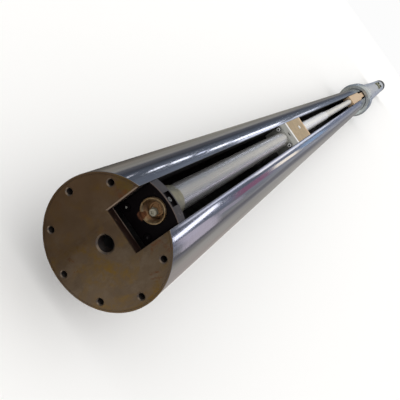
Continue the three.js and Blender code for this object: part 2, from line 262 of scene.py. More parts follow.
def threaded_profile(core, crest, y0, y1, pitch):
    """Half outline of a solid rod with a thread's ridges; it starts and ends on the axis."""
    profile = [(0, y0), (crest, y0)]
    turns = max(1, int((y1 - y0) / pitch))
    step = (y1 - y0) / turns
    for k in range(turns):
        profile.append((core, y0 + (k + 0.5) * step))
        profile.append((crest, y0 + (k + 1) * step))
    profile.append((0, y1))
    return profile


def tapped_hole(name, core, mouth, y0, depth, pitch, axis):
    """Cutter for a tapped blind hole: countersunk mouth, thread, drill point."""
    start = y0 + (mouth - core)
    profile = [(0, y0 - MM), (mouth + 0.0002, y0 - MM), (mouth, y0), (core, start)]
    turns = int((depth - (mouth - core)) / pitch)
    for k in range(turns):
        profile.append((core + 0.42 * pitch, start + (k + 0.5) * pitch))
        profile.append((core, start + (k + 1) * pitch))
    end = start + turns * pitch
    profile += [(core * 0.96, end + 0.2 * MM), (0, end + core * 0.6)]
    return turned(name, profile, SMALL, axis)


def coated(mesh, *materials):
    mesh.materials.clear()
    for material in materials:
        mesh.materials.append(material)


def faced(piece, rule, *materials):
    """Gives each face the material that rule(centre, normal) numbers."""
    coated(piece.data, *materials)
    for face in piece.data.polygons:
        face.material_index = rule(face.center, face.normal)
    return piece


def placed(piece, node, material=None):
    """The piece stands for a CAD node: same body, and the node is hidden."""
    if material:
        coated(piece.data, material)
    step = piece.modifiers.new("normals", "WEIGHTED_NORMAL")
    step.keep_sharp = True
    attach(piece, BODY_OF[node])
    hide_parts(node)


def make_ring(name, node, bore, eases, material, sides=ROUND, axis=(0.0, 0.0)):
    placed(turned(name, ring_profile(node, bore, eases), sides, axis), node, material)


# ---- material building ----
def linear(colour):
    """A screen colour of three numbers, made linear; anything else is given back as it is."""
    if not isinstance(colour, tuple) or len(colour) != 3:
        return colour
    parts = [v / 255 for v in colour]
    return tuple(v / 12.92 if v <= 0.04045 else ((v + 0.055) / 1.055) ** 2.4 for v in parts) + (1.0,)


def dimmed(colour, factor):
    """A screen colour, made linear and then darker."""
    return tuple(v * factor for v in linear(colour)[:3]) + (1.0,)


class Nodes:
    """Short calls that build a material's node tree; colours are screen colours, 0 to 255."""

    def __init__(self, name):
        self.material = bpy.data.materials.new(name)
        self.material.use_nodes = True
        self.tree = self.material.node_tree
        self.place = self.node("TexCoord").outputs["Object"]

    def link(self, source, target):
        self.tree.links.new(source, target)

    def fed(self, made, inputs):
        """Gives a node's inputs their values: another node's output or a constant each."""
        for key, value in dict(inputs).items():
            if isinstance(value, (tuple, float, int)):
                made.inputs[key].default_value = value
            else:
                self.link(value, made.inputs[key])
        return made

    def node(self, kind, inputs=(), **settings):
        made = self.tree.nodes.new("ShaderNode" + kind)
        for key, value in settings.items():
            setattr(made, key, value)
        return self.fed(made, inputs)

    def noise(self, scale, detail=4, rough=0.55, distortion=0.0):
        """Cloud pattern; scale is per metre, one number or one each for x, y and z."""
        scale = scale if isinstance(scale, tuple) else (scale,) * 3
        place = self.node("Mapping", {"Scale": scale, "Vector": self.place}).outputs["Vector"]
        values = {"Vector": place, "Scale": 1.0, "Detail": detail, "Roughness": rough,
                  "Distortion": distortion}
        return self.node("TexNoise", values).outputs["Fac"]

    def distance(self, kind, centre, scale):
        """Distance of the place from a centre, after a mapping of this kind."""
        values = {"Location": centre, "Scale": scale, "Vector": self.place}
        shift = self.node("Mapping", values, vector_type=kind).outputs["Vector"]
        return self.node("VectorMath", {0: shift}, operation="LENGTH").outputs["Value"]

    def rings(self, scale):
        """Fine turning marks: the pattern changes only with distance from the tube's axis."""
        values = {"Scale": scale, "Detail": 3, "W": self.distance("POINT", (0, 0, 0), (1, 0, 1))}
        return self.node("TexNoise", values, noise_dimensions="1D").outputs["Fac"]

    def along(self, axis):
        """The place along x, y or z, in metres."""
        return self.node("SeparateXYZ", {"Vector": self.place}).outputs[axis]

    def ranged(self, value, low, high, to_low=0, to_high=1):
        values = {"Value": value, "From Min": low, "From Max": high, "To Min": to_low, "To Max": to_high}
        return self.node("MapRange", values, clamp=True).outputs["Result"]

    def math(self, operation, *values):
        return self.node("Math", enumerate(values), operation=operation).outputs["Value"]

    def patch(self, centre, reach, ragged):
        """1 inside an oval patch with a ragged edge, 0 outside it."""
        uneven = self.math("MULTIPLY_ADD", self.noise(380), ragged, self.distance("TEXTURE", centre, reach))
        return self.ranged(uneven, 0.85 + ragged / 2, 1.05 + ragged / 2, 1, 0)

    def times(self, a, b):
        return self.math("MULTIPLY", a, b)

    def scaled(self, colour, factor):
        """A colour times another colour or a cloud pattern."""
        made = self.node("VectorMath", {0: colour, 1: factor}, operation="MULTIPLY")
        return made.outputs["Vector"]

    def blend(self, factor, a, b):
        """Colour a where the factor is 0, b where it is 1: outputs, or screen colours of three numbers."""
        values = {"Factor": factor, "A": linear(a), "B": linear(b)}
        return self.node("Mix", values, data_type="RGBA").outputs["Result"]


class Recipe(Nodes):
    """Surface of a piece: one Principled shader with textures."""

    def __init__(self, name, colour, roughness, metallic=1.0, specular=0.5):
        super().__init__(name)
        self.shader = self.tree.nodes["Principled BSDF"]
        self.fed(self.shader, {"Base Color": linear(colour), "Roughness": roughness, "Metallic": metallic,
                               "Specular IOR Level": specular})
        self.normal = None

    def colour(self, output):
        self.fed(self.shader, {"Base Color": output})

    def roughness(self, source, low, high, at_low=0.3, at_high=0.7):
        self.fed(self.shader, {"Roughness": self.ranged(source, at_low, at_high, low, high)})

    def bump(self, height, strength, depth):
        """Bumps are added up: each one starts from the surface that the last one left."""
        values = {"Strength": strength, "Distance": depth, "Height": height}
        if self.normal:
            values["Normal"] = self.normal
        self.normal = self.node("Bump", values).outputs["Normal"]
        self.fed(self.shader, {"Normal": self.normal})

    def grimy(self, low, high, specks, worn, smooth, rough):
        """Mottled dark oily surface with rubbed specks; gives its tone, for more to go over it."""
        cloud = self.noise(110, 5)
        self.roughness(cloud, smooth, rough)
        self.bump(self.noise(700), 0.4, 0.0001)
        tone = self.blend(cloud, low, high)
        return self.blend(self.ranged(self.noise(420, 5, 0.7), *specks), tone, worn) if worn else tone


# ---- materials ----
def chrome_tube():
    r = Recipe("hard_chrome", (176, 178, 184), 0.06)
    wide = r.noise((14, 1.6, 14), 3)
    film = r.ranged(r.noise((60, 3, 60), 5), 0.45, 0.80)
    tone = r.blend(wide, (168, 169, 176), (190, 189, 190))
    r.colour(r.blend(film, tone, (164, 160, 155)))
    r.roughness(r.noise((90, 500, 90)), 0.04, 0.12, 0.3, 0.75)
    r.bump(r.noise((10, 0.8, 10), 2), 0.3, 0.0005)
    return r.material


def faced_steel():
    r = Recipe("faced_steel", (108, 92, 76), 0.5, 0.8)
    cloud = r.noise((30, 30, 22), 6, 0.6, 0.5)
    fine = r.noise(240, 5, 0.65)
    grain = r.noise((110, 110, 60), 5, 0.7)
    tone = r.blend(r.ranged(cloud, 0.32, 0.68), (78, 64, 49), (106, 90, 71))
    tone = r.blend(r.ranged(grain, 0.50, 0.85), tone, (112, 98, 82))
    olive = r.times(r.ranged(r.noise((26, 26, 20), 4, 0.6, 0.9), 0.50, 0.64), r.ranged(fine, 0.30, 0.65))
    tone = r.blend(olive, tone, (110, 84, 34))
    rust = r.times(r.ranged(r.noise((48, 48, 40), 5, 0.6, 1.4), 0.58, 0.68), r.ranged(fine, 0.42, 0.60))
    tone = r.blend(rust, tone, (94, 58, 32))
    stain = r.ranged(r.noise((20, 20, 16), 4, 0.6, 0.8), 0.54, 0.72)
    tone = r.blend(r.times(stain, r.ranged(fine, 0.2, 0.9)), tone, (52, 43, 36))
    # painted light: the plate face is blended toward a lighter, warmer tone growing to the left (0.6 at x =
    # -55 mm, none from x = 15 mm), standing in for light falling on that side
    shade = r.ranged(r.along(0), -0.055, 0.015, 0.6, 0)
    tone = r.blend(shade, tone, (122, 93, 64))
    broken = r.ranged(fine, 0.28, 0.74)
    zinc = r.times(r.patch((-0.030, FRONT, 0.046), (0.010, 0.01, 0.007), 1.0), broken)
    tone = r.blend(zinc, tone, (114, 92, 38))
    bloom = r.times(r.patch((-0.024, FRONT, 0.040), (0.0024, 0.01, 0.0055), 1.0), broken)
    tone = r.blend(bloom, tone, (116, 70, 38))
    r.colour(tone)
    r.roughness(cloud, 0.40, 0.62)
    r.bump(r.rings(1800), 0.25, 0.00005)
    r.bump(fine, 0.3, 0.00012)
    return r.material


def dark_metal(name, low, high, roughness, metallic, worn=None):
    """Blackened or oily metal: mottled dark tones, a few rubbed specks. Some uses are painted shade
    (near-black insides of the slot, bore and holes) or painted light (lighter copies for faces that catch the
    light).
    """
    r = Recipe(name, low, roughness, metallic, 0.35)
    tone = r.grimy(low, high, (0.62, 0.76), worn, roughness * 0.7, roughness * 1.3)
    r.colour(tone)
    return r.material


def port_block():
    """Black oxide block with a run of rusty oil under its port."""
    r = Recipe("black_oxide", (8, 5, 6), 0.5, 0.0, 0.06)
    tone = r.grimy((5, 2, 4), (13, 8, 10), (0.68, 0.80), (70, 60, 54), 0.36, 0.6)
    run = r.patch((-2.4 * MM, FRONT + 18 * MM, INNER[1] - 12.2 * MM), (4.0 * MM, 9 * MM, 3.4 * MM), 0.9)
    ember = r.blend(r.ranged(r.noise(300), 0.35, 0.65), (46, 26, 16), (98, 62, 42))
    r.colour(r.blend(run, tone, ember))
    return r.material


def port_brass():
    """Tarnished yellow plating: cream on the rim, brown and rusty inside the thread."""
    r = Recipe("port_yellow", (176, 150, 104), 0.34, 0.85)
    cloud = r.noise(160, 5, 0.6, 0.7)
    tone = r.blend(r.ranged(cloud, 0.35, 0.68), (128, 103, 71), (168, 149, 119))
    rim = ends("port_adapter")[0]
    deep = r.ranged(r.along(1), rim + 0.4 * MM, rim + 3 * MM)
    brown = r.blend(cloud, (104, 76, 52), (172, 134, 94))
    tone = r.blend(deep, tone, brown)
    run = r.patch((-2.4 * MM, rim, INNER[1] - 10.4 * MM), (3.6 * MM, 9 * MM, 3.0 * MM), 0.9)
    r.colour(r.blend(run, tone, (94, 58, 34)))
    r.roughness(cloud, 0.24, 0.46)
    r.bump(r.noise(600, 3), 0.25, 0.00006)
    return r.material


def machined(name, dark, light, roughness=0.32, metallic=1.0, streak=(60, 900, 60), film=None):
    """Satin machined metal: fine lines, slow tone changes, oil smears; film is a dull oily front part."""
    r = Recipe(name, light, roughness, metallic)
    tone = r.blend(r.noise((45, 12, 45)), dark, light)
    smear = r.ranged(r.noise((80, 26, 80), 5, 0.6, 1.0), 0.60, 0.76)
    tone = r.blend(smear, tone, dimmed(dark, 0.65))
    if film:
        tone = r.blend(r.ranged(r.along(1), FRONT + 0.10, FRONT + 0.62, 0.72, 0), tone, film)
    r.colour(tone)
    lines = r.noise(streak, 4, 0.7)
    r.roughness(lines, roughness * 0.8, roughness * 1.25, 0.25, 0.75)
    r.bump(lines, 0.12, 0.00004)
    return r.material


def plated(name, base, tint, rust, roughness=0.35, metallic=0.85):
    """Zinc plating: two tones in soft clouds, specks and dull patches."""
    r = Recipe(name, base, roughness, metallic)
    cloud = r.noise((90, 60, 90), 5, 0.6, 0.7)
    speck = r.ranged(r.noise(520, 4, 0.7), 0.60, 0.72)
    tone = r.blend(r.ranged(cloud, 0.35, 0.68), base, tint)
    r.colour(r.blend(speck, tone, rust))
    r.roughness(cloud, roughness * 0.75, roughness * 1.5)
    r.bump(r.noise(600, 3), 0.25, 0.00006)
    return r.material


def painted(name, base, dark, roughness=0.4):
    """Thin satin paint over steel, with rubbed patches and dirt."""
    r = Recipe(name, base, roughness, 0.35)
    cloud = r.noise((18, 5, 18), 5, 0.6)
    rubbed = r.ranged(r.noise((70, 30, 70), 6, 0.7, 0.8), 0.60, 0.72)
    tone = r.blend(cloud, dark, base)
    r.colour(r.blend(rubbed, tone, (168, 166, 160)))
    r.roughness(cloud, roughness * 0.8, roughness * 1.4)
    r.bump(r.noise(350, 3), 0.2, 0.0001)
    return r.material


def polymer(name, base, roughness):
    r = Recipe(name, base, roughness, 0.0)
    cloud = r.noise(200)
    r.colour(r.blend(cloud, dimmed(base, 0.7), base))
    r.roughness(cloud, roughness * 0.85, roughness * 1.15)
    r.bump(r.noise(900, 3), 0.2, 0.00005)
    return r.material


def notch_floor_oil_and_highlight():
    """Oily floor of the notch, with a painted highlight along its back edge that fades toward +x, and a
    fainter painted highlight along its front edge.
    """
    r = Recipe("notch_floor_oil_and_highlight", (40, 24, 18), 0.45, 0.3)
    tone = r.grimy((24, 12, 9), (52, 31, 23), (0.60, 0.74), (112, 84, 62), 0.3, 0.55)
    # painted highlight: a lighter strip along the front edge of the floor, full for 0.4 mm and gone by 0.8 mm
    front = r.ranged(r.along(1), FRONT + 0.4 * MM, FRONT + 0.8 * MM, 0.6, 0)
    back = r.ranged(r.along(1), FRONT + 9.3 * MM, FRONT + 9.8 * MM, 0, 1)
    tone = r.blend(front, tone, (84, 62, 52))
    # painted highlight: the pale back-edge line, 9.3 mm and more from the face, faded to a tenth between x =
    # 0 and x = 14 mm
    back = r.times(back, r.ranged(r.along(0), 0, 14 * MM, 1, 0.1))
    r.colour(r.blend(back, tone, (150, 132, 120)))
    return r.material


CHROME = chrome_tube()
FACED = faced_steel()
EDGE = machined("worn_edge", (176, 170, 160), (220, 214, 204), 0.25)
# near-black for the inner faces of the slot, bore and holes: painted shade where little light reaches
SHADED_INSIDE = dark_metal("painted_shade_inside", (10, 9, 9), (26, 22, 20), 0.6, 0.0)
# dark walls of the tapped holes: painted shade inside the holes, with a few lighter specks
SHADED_THREAD = dark_metal("tapped_thread_painted_shade", (15, 10, 8), (44, 32, 25), 0.4, 0.2, (104, 84, 68))
MOUTH = dark_metal("hole_mouth", (102, 88, 74), (150, 134, 117), 0.35, 0.9, (206, 196, 180))
# lighter tone for the left chamfer of the notch: partly a rubbed edge, partly a painted highlight where that
# side catches the light
RUBBED_AND_LIT = dark_metal("rubbed_edge_and_highlight", (116, 100, 86), (156, 138, 120), 0.4, 0.5, (196, 180, 162))
BLOCK_EDGE = dark_metal("block_edge", (80, 68, 62), (108, 94, 86), 0.42, 0.4, (140, 124, 112))
NOTCH = notch_floor_oil_and_highlight()
BLACK = port_block()
# lighter copy of the black block's tone for its top faces: painted light; also the painted glint in the
# second gallery plug
LIT_BLOCK_TOP = dark_metal("block_top_painted_light", (44, 41, 43), (72, 67, 69), 0.42, 0.5, (150, 144, 138))
PORT = port_brass()
YELLOW = plated("yellow_zinc", (150, 150, 120), (190, 186, 160), (118, 104, 70), 0.34)
PLUG_OLIVE = plated("plug_olive", (54, 64, 36), (78, 86, 52), (38, 42, 26), 0.4, 0.5)
OLIVE = plated("olive_zinc", (108, 104, 84), (148, 143, 123), (88, 77, 51), 0.34, 0.7)
SATIN = machined("satin_steel", (206, 203, 198), (236, 232, 224), 0.27, 0.78, (500, 3, 500),
                 (142, 142, 144))
BRIGHT = machined("bright_steel", (232, 231, 230), (250, 249, 246), 0.30, 0.30, (400, 6, 400))
ROD_CHROME = machined("rod_chrome", (220, 215, 206), (238, 234, 224), 0.30, 0.35, (400, 6, 400))
GREY = machined("grey_steel", (118, 118, 118), (156, 156, 154), 0.42, 1.0, 300)
FLANGE_GREY = machined("flange_grey", (130, 130, 124), (160, 158, 150), 0.45, 0.2, 300)
# lighter copy of the flange grey for its front faces: painted light
LIT_FLANGE_FRONT = machined("flange_front_painted_light", (160, 160, 154), (190, 189, 182), 0.45, 0.2, 300)
TAN = plated("tan_zinc", (164, 138, 96), (202, 180, 146), (130, 98, 60), 0.44, 0.45)
PALE_TAN = plated("pale_tan", (206, 170, 130), (230, 206, 172), (168, 128, 88), 0.5, 0.3)
# near-white and not metallic: a painted highlight that stands for the glint on the bracket's grub screw
GLINT_WHITE = machined("white_painted_glint", (244, 244, 242), (254, 254, 252), 0.3, 0.0, 300)
PAINT = painted("satin_paint", (188, 192, 200), (150, 156, 166), 0.3)
RING = machined("ring_steel", (176, 184, 184), (220, 224, 222), 0.2, 0.85, (20, 500, 20))
CAP_STEEL = dark_metal("cap_steel", (24, 26, 28), (44, 46, 48), 0.6, 0.0, (86, 88, 88))
SCREW = dark_metal("screw_black", (22, 22, 24), (48, 46, 44), 0.34, 0.4, (92, 80, 66))
BRONZE = machined("bronze", (120, 88, 46), (168, 130, 76), 0.35, 1.0, (20, 500, 20))
RUBBER = polymer("seal_rubber", (30, 30, 30), 0.7)
NYLON = polymer("white_nylon", (198, 190, 178), 0.45)
PALE_PLUG = polymer("pale_plug", (162, 157, 138), 0.4)


# ---- chrome tube and end plate ----
TUBE_BORE = 44 * MM
PLATE_REAR = ends("end_plate")[1] + GAP
PLATE_R = radius("end_plate")
BOLT_CIRCLE = 51.9 * MM
BOLT_COUNT = 8
NOTCH_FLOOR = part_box("head_block")[0].z
SLOT_END = FRONT + 3.18


def bolt_places():
    for k in range(1, BOLT_COUNT):
        a = math.pi / 2 + math.tau * k / BOLT_COUNT
        yield BOLT_CIRCLE * math.cos(a), BOLT_CIRCLE * math.sin(a)


def bolt_cutters():
    return [tapped_hole(f"tap_{i}", 2.8 * MM, 3.8 * MM, FRONT, 18 * MM, 1 * MM, place)
            for i, place in enumerate(bolt_places())]


def in_hole(centre):
    """True for a point on the wall of one of the tapped holes or of the centre hole."""
    spot = centre.xz
    return spot.length < 9.2 * MM or any((spot - Vector(p)).length < 4.0 * MM for p in bolt_places())


def face_rule(centre, normal):
    """0 turned face, 1 bright chamfer, 2 wall of a hole, dark as painted shade."""
    depth = centre.y - FRONT
    if depth > 0.02 * MM and in_hole(centre):
        return 1 if depth < 1.3 * MM and normal.y < -0.3 else 2
    return 0


def make_chrome_tube():
    seat = PLATE_R + 0.12 * MM
    groove = TUBE_R - 4 * MM
    profile = [
        (seat, FRONT, 0.2), (TUBE_R, FRONT, 0.5), (TUBE_R, TAIL - 40 * MM, 0.3),
        (groove, TAIL - 40 * MM), (groove, TAIL - 12 * MM), (TUBE_R - MM, TAIL - 12 * MM, 0.2),
        (TUBE_R - MM, TAIL, 0.4), (TUBE_BORE, TAIL, 0.8), (TUBE_BORE, PLATE_REAR), (seat, PLATE_REAR)]
    tube = turned("chrome_tube", profile, ROUND)
    slot = box("slot", (-SLOT_HALF, FRONT - 0.01, 0), (SLOT_HALF, SLOT_END, TUBE_R + 0.01))
    cut(tube, slot, *bolt_cutters())
    softened(tube, 0.5 * MM, 50)

    def rule(centre, normal):
        outside = math.hypot(centre.x, centre.z) > TUBE_R - 0.8 * MM
        if centre.y < FRONT + 0.05 * MM:
            return 1
        if outside and normal.x * centre.x + normal.z * centre.z > 0.93 * TUBE_R:
            return 0
        # 3: inner faces of the slot, bore and holes, in the near-black painted-shade material
        return 2 if outside else 3

    placed(faced(tube, rule, CHROME, FACED, EDGE, SHADED_INSIDE), "slotted_tube")


def flared_notch():
    """Cutter for the chamfered edge round the mouth of the notch; its left face is coloured as a rubbed edge
    and a painted highlight.
    """
    grow, under, deep = 1.1 * MM, 0.6 * MM, 1.0 * MM
    top = TUBE_R + 0.01
    near = [(-SLOT_HALF - grow, NOTCH_FLOOR - under), (SLOT_HALF, NOTCH_FLOOR - under), (SLOT_HALF, top),
            (-SLOT_HALF - grow, top)]
    far = [(-SLOT_HALF, NOTCH_FLOOR), (SLOT_HALF, NOTCH_FLOOR), (SLOT_HALF, top), (-SLOT_HALF, top)]
    return finished(lofted((FRONT - 0.01, near), (FRONT, near), (FRONT + deep, far)), "flare")


def make_end_plate():
    plate = bar("end_plate_face", PLATE_R, FRONT, PLATE_REAR, (0, 0), sides=ROUND, eases=(0.25, 0.2))
    notch = box("notch", (-SLOT_HALF, FRONT - 0.01, NOTCH_FLOOR), (SLOT_HALF, FRONT + 0.05, TUBE_R + 0.01))
    centre = tapped_hole("centre", 7.5 * MM, 8.9 * MM, FRONT, 30 * MM, 1.5 * MM, (0, 0))
    cut(plate, notch, flared_notch(), centre, *bolt_cutters())
    softened(plate, 0.35 * MM, 70)

    def rule(centre, normal):
        # the notch's left chamfer gets the lighter rubbed-edge colour, partly a painted highlight; the floor
        # chamfer stays dark
        sloped = normal.y < -0.4 and normal.x > 0.4
        if sloped and centre.y < FRONT + 1.1 * MM and not in_hole(centre):
            return 4
        if centre.y > FRONT + 0.4 * MM and not in_hole(centre):
            return 3
        return face_rule(centre, normal)

    placed(faced(plate, rule, FACED, MOUTH, SHADED_THREAD, NOTCH, RUBBED_AND_LIT), "end_plate")


make_chrome_tube()
make_end_plate()


# ---- head block in the slot ----
def block_outline(half, low, top_radius, count=24):
    """Flat sides and base; the top is an arc about the tube's axis."""
    reach = math.asin(half / top_radius)
    arc = []
    for k in range(count + 1):
        a = reach - 2 * reach * k / count
        arc.append((top_radius * math.sin(a), top_radius * math.cos(a)))
    return [(-half, low), (half, low)] + arc


def make_head_block():
    low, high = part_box("head_block")
    block = prism("port_block", block_outline(high.x, low.z, TUBE_R), low.y, high.y, 0.5 * MM)
    adapter_r = radius("port_adapter") + GAP
    bore = hole(adapter_r, low.y - MM, high.y + MM, INNER, sides=FINE)
    recess = box("recess", (-7 * MM, low.y + 2 * MM, TUBE_R - 2.4 * MM),
                 (7 * MM, high.y - 2.5 * MM, TUBE_R + MM))
    tools = [bore, recess, hole(2.5 * MM, INNER[1], TUBE_R, middle("lock_screw").xy, True)]
    for node in ("gallery_plug_1", "gallery_plug_2"):
        r = radius(node) + GAP
        tools.append(turned("seat", [(0, low.y - MM), (r + 0.8 * MM, low.y - MM), (r, low.y + 0.8 * MM),
                                     (r, low.y + 9 * MM), (0, low.y + 9 * MM)], SMALL, middle(node).xz))
    cut(block, *tools)

    def rule(centre, normal):
        in_recess = abs(centre.x) < 7.1 * MM and centre.z < TUBE_R - 1.6 * MM
        if centre.z < TUBE_R - 5 * MM or in_recess:
            return 0
        if normal.y < -0.3 and normal.z > 0.3:
            return 2
        # upward faces get the lighter copy of the black block: painted light where the top catches the light
        return 1 if normal.z > 0.6 else 0

    placed(faced(block, rule, BLACK, LIT_BLOCK_TOP, BLOCK_EDGE), "head_block")


def make_port_adapter():
    y0, y1, outer = extent("port_adapter")
    inner = 8.7 * MM
    lip = 10.2 * MM
    profile = [(lip, y0, 0.3), (outer - 0.2 * MM, y0, 0.4), (outer, y0 + 2 * MM, 0.2),
               (outer, y1), (inner, y1)]
    pitch = 1.5 * MM
    turns = int((y1 - y0 - 2 * MM) / pitch)
    for k in range(turns):
        profile.append((inner, y1 - k * pitch - 0.15 * pitch))
        profile.append((inner + 0.7 * MM, y1 - (k + 0.5) * pitch))
    profile.append((inner, y0 + 1.4 * MM))
    placed(turned("port_ring", profile, FINE, INNER), "port_adapter", PORT)


def make_port_plug():
    """Rusty plug sunk in the thread, with a pale moulded lug to one side."""
    y0, y1 = ends("port_plug")
    r = radius("port_plug")
    step = y0 + 3 * MM
    raised = step - 1.2 * MM
    profile = [(0, step), (4.4 * MM, step), (4.8 * MM, raised, 0.3), (6.6 * MM, raised, 0.3),
               (7.0 * MM, step), (r, step, 0.3), (r, y1), (0, y1)]
    plug = turned("port_plug_cap", profile, FINE, INNER)
    at = (INNER[0] + 0.8 * MM, INNER[1] - 3.9 * MM)
    lug = turned("lug", [(0, y0), (3.4 * MM, y0, 0.8), (3.6 * MM, step + MM), (0, step + MM)], 48, at)
    joined(plug, lug)
    cut(plug, hexagon("key", 2.6 * MM, y0 - MM, y0 + 1.2 * MM, at))

    def rule(centre, normal):
        return 0 if math.dist(centre.xz, at) < 3.7 * MM and centre.y < step else 1

    placed(faced(plug, rule, PALE_PLUG, PORT), "port_plug")


def make_gallery_plugs():
    for node, centre in (("gallery_plug_1", FLANGE_GREY), ("gallery_plug_2", LIT_BLOCK_TOP)):
        y0, y1 = ends(node)
        spot = middle(node).xz
        plug = bar(node + "_head", radius(node), y0, y1, spot, eases=(0.5, 0.2))
        cut(plug, hexagon("key", 2 * MM, y0 - MM, y0 + 0.8 * MM, spot))
        # painted glint: each plug's socket gets a lighter material than its black body, brighter on the first
        # plug than on the second
        faced(plug, lambda c, n: 1 if math.dist(c.xz, spot) < 1.3 * MM else 0, BLACK, centre)
        placed(plug, node)


def make_grub_screw(node, key, material):
    low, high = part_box(node)
    spot = middle(node).xy
    screw = bar(node + "_head", radius(node), low.z, high.z, spot, True, eases=(0.2, 0.3))
    placed(cut(screw, hexagon("key", key, high.z - 1.4 * MM, high.z + MM, spot, True)), node, material)


make_head_block()
make_port_adapter()
make_port_plug()
make_gallery_plugs()
make_grub_screw("lock_screw", 2 * MM, GREY)


# ---- slim cylinder: barrel, flange, bracket ----
BARREL_BORE = 11.8 * MM
STAGE_BORE = 10.5 * MM
WIPER_SEAT = 13.2 * MM
TUBE_EASES = (0.15, 0.3, 0.3, 0.15)
FLANGE_SCREWS = ("flange_screw_1", "flange_screw_2")


def make_barrel_nut():
    y0, y1, outer = extent("barrel_nut")
    profile = ring_profile("barrel_nut", radius("inner_barrel") + GAP, (0.2, 0.8, 0.8, 0.3))
    nut = turned("lock_nut", profile, FINE, INNER)
    slots = [box("spanner", (side - 1.4 * MM, y0 - MM, INNER[1] - 1.6 * MM),
                 (side + 1.4 * MM, y1 + MM, INNER[1] + 1.6 * MM)) for side in (-outer, outer)]
    placed(cut(nut, *slots), "barrel_nut", OLIVE)


def socket_screw(name, node, key):
    """Cap screw along Y: knurled head with a socket, threaded shank; the head's front face is painted bright
    as a highlight.
    """
    y0, y1 = ends(node)
    spot, head_r = middle(node).xz, radius(node)
    head_end = y0 + 8 * MM
    head = bar(name, head_r, y0, head_end, spot, sides=KNURLS, eases=(1.1, 0.2))
    for v in head.data.vertices:
        across = v.co.xz - spot
        step = round(math.atan2(across.y, across.x) / (math.tau / KNURLS))
        if step % 2 and across.length > head_r * 0.98:
            v.co.xz = spot + across * 0.96
    thread = threaded_profile(1.6 * MM, 1.9 * MM, head_end - 0.2 * MM, y1, 1.2 * MM)
    joined(head, turned("shank", thread, SMALL, spot))
    cut(head, hexagon("key", key, y0 - MM, y0 + 2.4 * MM, spot))
    # painted highlight: the black head's front face gets the bright steel colour
    faced(head, lambda centre, normal: 1 if centre.y < y0 + 0.1 * MM else 0, SCREW, BRIGHT)
    placed(head, node)


def make_flange():
    low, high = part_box("barrel_flange")
    flange = box("flange", low, high, 0.5 * MM)
    barrel_r, stage_r = radius("inner_barrel") + 0.15 * MM, radius("stage_tube") + GAP
    barrel_end = ends("inner_barrel")[1] + GAP
    y0, y1 = low.y - MM, high.y + MM
    wiper_y = high.y - 12 * MM
    seat = turned("seat", [(0, y0), (barrel_r, y0), (barrel_r, barrel_end), (stage_r, barrel_end),
                           (stage_r, wiper_y), (WIPER_SEAT, wiper_y), (WIPER_SEAT, y1), (0, y1)], FINE, INNER)
    top = high.z
    dip = (0.0, low.y + 18 * MM)
    holes = [hole(2.2 * MM, y0, y1, middle(node).xz) for node in FLANGE_SCREWS]
    cut(flange, seat, hole(3.8 * MM, top - 1.8 * MM, top + 2 * MM, dip, True), *holes)

    def rule(centre, normal):
        sunk = centre.z < top - 0.02 * MM and centre.z > top - 2 * MM
        # walls of the small dip hole get the near-black painted shade
        if sunk and math.dist(centre.xy, dip) < 3.9 * MM:
            return 1
        # front-facing faces get the lighter copy of the flange grey: painted light
        return 2 if normal.y < -0.5 else 0

    placed(faced(flange, rule, FLANGE_GREY, SHADED_INSIDE, LIT_FLANGE_FRONT), "barrel_flange")


def make_bracket():
    low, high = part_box("bracket_block")
    block = box("bracket", low, high, 0.4 * MM)
    leg = 2.2 * MM / math.sqrt(2)
    chamfer = box("chamfer", (-0.03, -leg, -leg), (0.03, leg, leg))
    turn = Matrix.Rotation(math.radians(45), 4, "X")
    chamfer.data.transform(Matrix.Translation((0, low.y, high.z)) @ turn)
    step = box("step", (-0.03, high.y - 14 * MM, high.z - 0.5 * MM), (0.03, high.y + MM, high.z + MM))
    strip = box("strip", (-0.03, low.y - MM, high.z - 0.4 * MM), (0.03, low.y + 9 * MM, high.z + MM))
    stage_r = radius("stage_tube") + GAP
    y0, y1 = low.y - MM, high.y + MM
    bore = hole(stage_r, y0, y1, INNER, sides=FINE)
    vent, r = middle("bracket_screw").xy, radius("bracket_screw") + GAP
    top = high.z
    seat = turned("seat", [(0, INNER[1]), (r, INNER[1]), (r, top - 0.9 * MM), (r + 1.1 * MM, top + 0.2 * MM),
                           (r + 1.1 * MM, top + MM), (0, top + MM)], SMALL, vent, True)
    holes = [hole(2.2 * MM, y0, low.y + 24 * MM, middle(node).xz) for node in FLANGE_SCREWS]
    cut(block, chamfer, step, strip, bore, seat, *holes)

    def rule(centre, normal):
        # walls of the screw's seat get the near-black painted shade
        if math.dist(centre.xy, vent) < r + 1.2 * MM and centre.z < top - 0.02 * MM and normal.z < 0.9:
            return 3
        if normal.z > 0.5 and centre.y < low.y + 9.1 * MM:
            return 1
        return 2 if normal.z > 0.7 and centre.y > high.y - 14.2 * MM else 0

    placed(faced(block, rule, TAN, BRIGHT, PALE_TAN, SHADED_INSIDE), "bracket_block")


make_barrel_nut()
make_ring("barrel", "inner_barrel", BARREL_BORE, TUBE_EASES, SATIN, FINE, INNER)
make_flange()
make_bracket()
socket_screw("cap_screw_left", FLANGE_SCREWS[0], 3.2 * MM)
socket_screw("cap_screw_right", FLANGE_SCREWS[1], 3.2 * MM)
# the bracket screw is coloured near-white: a painted highlight
make_grub_screw("bracket_screw", 0.9 * MM, GLINT_WHITE)


# ---- middle stage and rod ----
ANCHOR_SCREWS = ("anchor_screw_1", "anchor_screw_2")
SHANK_HOLE = 4.3 * MM


